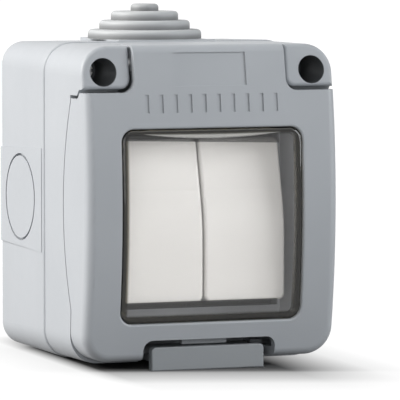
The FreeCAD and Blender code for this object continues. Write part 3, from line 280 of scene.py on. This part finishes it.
# Painted reflection: a bowed pale band along the top of the pane, standing in for the rockers mirrored
# in its side.
sideways = reckon(tree, "DIVIDE", places["X"], SHEEN_HALF)
bow = reckon(tree, "SUBTRACT", 1.0, reckon(tree, "MULTIPLY", sideways, sideways))
sheen_depth = reckon(tree, "MULTIPLY", reckon(tree, "MAXIMUM", bow, THINNEST_BOW), SHEEN_DEPTH)
below = reckon(tree, "DIVIDE", reckon(tree, "SUBTRACT", SHEEN_TOP, places["Z"]), sheen_depth)
swell = reckon(tree, "MULTIPLY", below, reckon(tree, "SUBTRACT", 1.0, below))
painted_sheen = reckon(tree, "MULTIPLY", reckon(tree, "MAXIMUM", swell, 0.0), SHEEN_SHARE / SWELL_PEAK)
# Painted shade: dark bands on the pane over the gaps above and below the rockers.
height = reckon(tree, "ADD", places["Z"], reckon(tree, "MULTIPLY", places["X"], GAP_SLOPE))
over = reckon(tree, "MULTIPLY", reckon(tree, "GREATER_THAN", height, GAP_LOW),
              reckon(tree, "GREATER_THAN", below, 1.0))
under = reckon(tree, "MULTIPLY", reckon(tree, "LESS_THAN", places["Z"], UNDER_TOP),
               reckon(tree, "GREATER_THAN", places["Z"], UNDER_LOW))
gap_shade_mask = reckon(tree, "MULTIPLY", reckon(tree, "MAXIMUM", over, under),
                reckon(tree, "LESS_THAN", places["X"], GAP_RIGHT))
darken(tree, blend(tree, gap_shade_mask, 1.0, 1.0 - GAP_SHADE))
painted_reflection = add_node(tree, "BsdfDiffuse", {"Color": SHEEN_COLOUR})
pane = either_shader(tree, painted_sheen, shader.outputs["BSDF"], painted_reflection.outputs["BSDF"])
through = add_node(tree, "BsdfTransparent", {"Color": SHADOW_TINT})
shaded = either_shader(tree, add_node(tree, "LightPath").outputs["Is Shadow Ray"], pane,
                       through.outputs["BSDF"])
tree.links.new(shaded, tree.nodes["Material Output"].inputs["Surface"])
dress(window_clear, "window")


# Rockers: the two keys behind the window, with a soft ridge across the middle.
# They are moulded from glossy warm white plastic and snap onto the carrier's saddles;
# their upper ends are painted whiter, as painted light.
ROCKER_MIDDLE = 2.0 * MM
ROCKER_TOP = 16.0 * MM
MIDDLE_PAINTED_SHADE = 0.785
rocker_white = moulded("rocker_white", dark=(0.865, 0.847, 0.816), light=(0.895, 0.877, 0.846),
                       smooth=0.28, rough=0.36, depth=0.006 * MM)
tree = rocker_white.node_tree
# Painted light: the colour rises from the middle share to full white at the upper ends.
upwards = along(tree, places_on(tree)["Z"], ROCKER_MIDDLE, ROCKER_TOP)
darken(tree, blend(tree, upwards, MIDDLE_PAINTED_SHADE, 1.0))
dress(rocker_white, "rocker_left", "rocker_right")


# Mechanism: the carrier plate and insulating base, the plungers, and the brass contacts.
# Plate, base and plungers are moulded, and the contacts are folded from brass strip.
carrier_plastic = moulded("carrier_plastic", dark=(0.36, 0.36, 0.35), light=(0.4, 0.4, 0.385),
                          smooth=0.45, rough=0.55, depth=0.02 * MM)
dress(carrier_plastic, "mechanism_plate", "mechanism_base")
plunger_plastic = moulded("plunger_plastic", dark=(0.62, 0.6, 0.55), light=(0.68, 0.66, 0.6),
                          smooth=0.35, rough=0.45, depth=0.01 * MM)
contact_brass = bare_metal("contact_brass", dark=(0.66, 0.47, 0.2), light=(0.8, 0.6, 0.28),
                           roughness=0.32, blotches=500.0, scratches=3000.0, strength=0.2)
for side in ("left", "right"):
    dress(plunger_plastic, f"plunger_{side}")
    dress(contact_brass, f"contact_blade_{side}", f"common_terminal_{side}",
          f"upper_terminal_{side}", f"lower_terminal_{side}")
dress(contact_brass, "terminal_screws")


# Studio: a pale floor with a soft shadow painted round the object, and a white surround.
# The object stands on its bottom pad and its tab, and the floor slopes down a little
# towards the front, because the tab reaches lower than the pad.
PAD_LOW = Vector((0.0, 0.0, -40.15 * MM))
TAB_LOW = Vector((0.0, -58.75 * MM, -41.4 * MM))
FLOOR_SIZE = 8.0
lean = math.atan2(PAD_LOW.z - TAB_LOW.z, PAD_LOW.y - TAB_LOW.y)
floor_mesh = bpy.data.meshes.new("floor")
shape = bmesh.new()
bmesh.ops.create_grid(shape, x_segments=1, y_segments=1, size=FLOOR_SIZE / 2)
bmesh.ops.rotate(shape, verts=shape.verts, cent=(0, 0, 0), matrix=Matrix.Rotation(lean, 3, "X"))
bmesh.ops.translate(shape, verts=shape.verts, vec=TAB_LOW)
shape.to_mesh(floor_mesh)
shape.free()
floor = bpy.data.objects.new("floor", floor_mesh)
bpy.context.scene.collection.objects.link(floor)

FIRST_SCATTER = 0.5


def seen_share(tree):
    """One for what the camera sees, directly, mirrored or through glass, and nought for other light."""
    path = add_node(tree, "LightPath").outputs
    share = reckon(tree, "MAXIMUM", path["Is Camera Ray"], path["Is Glossy Ray"])
    share = reckon(tree, "MAXIMUM", share, path["Is Transmission Ray"])
    unscattered = reckon(tree, "LESS_THAN", path["Diffuse Depth"], FIRST_SCATTER)
    return reckon(tree, "MULTIPLY", share, unscattered)


SHADOW_LEFT = ((-26.0, 1.0), (-32.0, 0.16), (-55.0, 0.0))
SHADOW_RIGHT = ((19.0, 1.0), (39.0, 0.19), (52.0, 0.0))
SHADOW_FRONT = ((-57.0, 1.0), (-62.0, 0.92), (-66.0, 0.62), (-78.0, 0.42), (-88.0, 0.16), (-112.0, 0.0))
SHADOW_BACK = ((-5.0, 1.0), (25.0, 0.0))
FRONT_SLANT = 0.3
FLOOR_TONE = 0.08
LEFT_TONE = 0.25
LEFT_NEAR = -30.0 * MM
LEFT_FAR = -60.0 * MM
CONTACT_TONE = 0.10
CLEAR_TONE = 0.02


def fade(tree, place, stops):
    """Share of shadow at a place, from stops in millimetres."""
    start, end = stops[0][0], stops[-1][0]
    shares = tuple(((distance - start) / (end - start), share) for distance, share in stops)
    return bands(tree, along(tree, place, start * MM, end * MM), shares)


floor_white, tree, shader, _ = start_finish("floor_white", {"Roughness": 0.8, "Specular IOR Level": 0.1})
places = places_on(tree)
slanted = reckon(tree, "ADD", places["Y"], reckon(tree, "MULTIPLY", places["X"], FRONT_SLANT))
# Painted shadow: these fades dim the floor's glow for the camera round the object.
shadow = fade(tree, places["X"], SHADOW_LEFT)
for place, stops in ((places["X"], SHADOW_RIGHT), (slanted, SHADOW_FRONT), (places["Y"], SHADOW_BACK)):
    shadow = reckon(tree, "MULTIPLY", shadow, fade(tree, place, stops))
seen = seen_share(tree)
bounce = blend(tree, along(tree, places["X"], LEFT_NEAR, LEFT_FAR), FLOOR_TONE, LEFT_TONE)
tone = blend(tree, seen, bounce, blend(tree, shadow, CLEAR_TONE, CONTACT_TONE))
tree.links.new(tone, shader.inputs["Base Color"])
tree.links.new(reckon(tree, "SUBTRACT", 1.0, shadow), shader.inputs["Emission Color"])
tree.links.new(seen, shader.inputs["Emission Strength"])
floor_mesh.materials.append(floor_white)

AMBIENT = 0.03
WHITE = (1.0, 1.0, 1.0, 1.0)
world = bpy.data.worlds.new("studio")
world.use_nodes = True
bpy.context.scene.world = world
background = world.node_tree.nodes["Background"]
background.inputs["Color"].default_value = WHITE
strength = blend(world.node_tree, seen_share(world.node_tree), AMBIENT, 1.0)
world.node_tree.links.new(strength, background.inputs["Strength"])


# Light: a warm soft box to the left, above and a little behind, and three cooler ones: a wide
# one low in front on the left, a weak one high in front and one to the right.
LAMP_TARGET = Vector((0.0, -0.03, 0.0))


def soft_box(name, place, watts, size, colour):
    """A square lamp that faces the object."""
    lamp = bpy.data.lights.new(name, "AREA")
    lamp.energy = watts
    lamp.size = size
    lamp.color = colour
    holder = bpy.data.objects.new(name, lamp)
    holder.location = place
    holder.rotation_euler = (LAMP_TARGET - Vector(place)).to_track_quat("-Z", "Y").to_euler()
    bpy.context.scene.collection.objects.link(holder)


soft_box("key_left", (-0.68, 0.12, 0.40), watts=10.9, size=0.5, colour=(1.0, 0.985, 0.965))
soft_box("fill_front", (-0.45, -0.95, 0.14), watts=4.3, size=0.8, colour=(0.965, 0.983, 1.0))
soft_box("fill_top", (0.2, -0.6, 0.75), watts=1.5, size=0.6, colour=(0.955, 0.98, 1.0))
soft_box("fill_right", (0.75, -0.6, 0.3), watts=6.2, size=0.6, colour=(0.955, 0.98, 1.0))


# Camera: almost level with the object, a little to its left, with a long lens.
# It is turned and raised from the front by two angles about the middle of the box.
TURN = math.radians(21.319)
RISE = math.radians(3.893)
DISTANCE = 1.1158
MIDDLE = Vector((0.0, -0.030, -0.00115))
FOCAL_PIXELS = 4363.0
IMAGE_PIXELS = 400.0
MIDDLE_PIXEL = (165.71, 201.40)
SENSOR_WIDTH = 36.0
FAR_CLIP = 50.0
back = Vector((-math.sin(TURN) * math.cos(RISE), -math.cos(TURN) * math.cos(RISE), math.sin(RISE)))
right = Vector((math.cos(TURN), -math.sin(TURN), 0.0))
up = back.cross(right)
aim = (MIDDLE + right * (IMAGE_PIXELS / 2 - MIDDLE_PIXEL[0]) * DISTANCE / FOCAL_PIXELS
       + up * (MIDDLE_PIXEL[1] - IMAGE_PIXELS / 2) * DISTANCE / FOCAL_PIXELS)
camera_data = bpy.data.cameras.new("camera")
camera_data.sensor_width = SENSOR_WIDTH
camera_data.lens = SENSOR_WIDTH * FOCAL_PIXELS / IMAGE_PIXELS
camera_data.clip_end = FAR_CLIP
camera = bpy.data.objects.new("camera", camera_data)
camera.location = MIDDLE + back * DISTANCE
camera.rotation_euler = (aim - camera.location).to_track_quat("-Z", "Y").to_euler()
bpy.context.scene.collection.objects.link(camera)
bpy.context.scene.camera = camera
bpy.context.scene.view_settings.view_transform = "Standard"
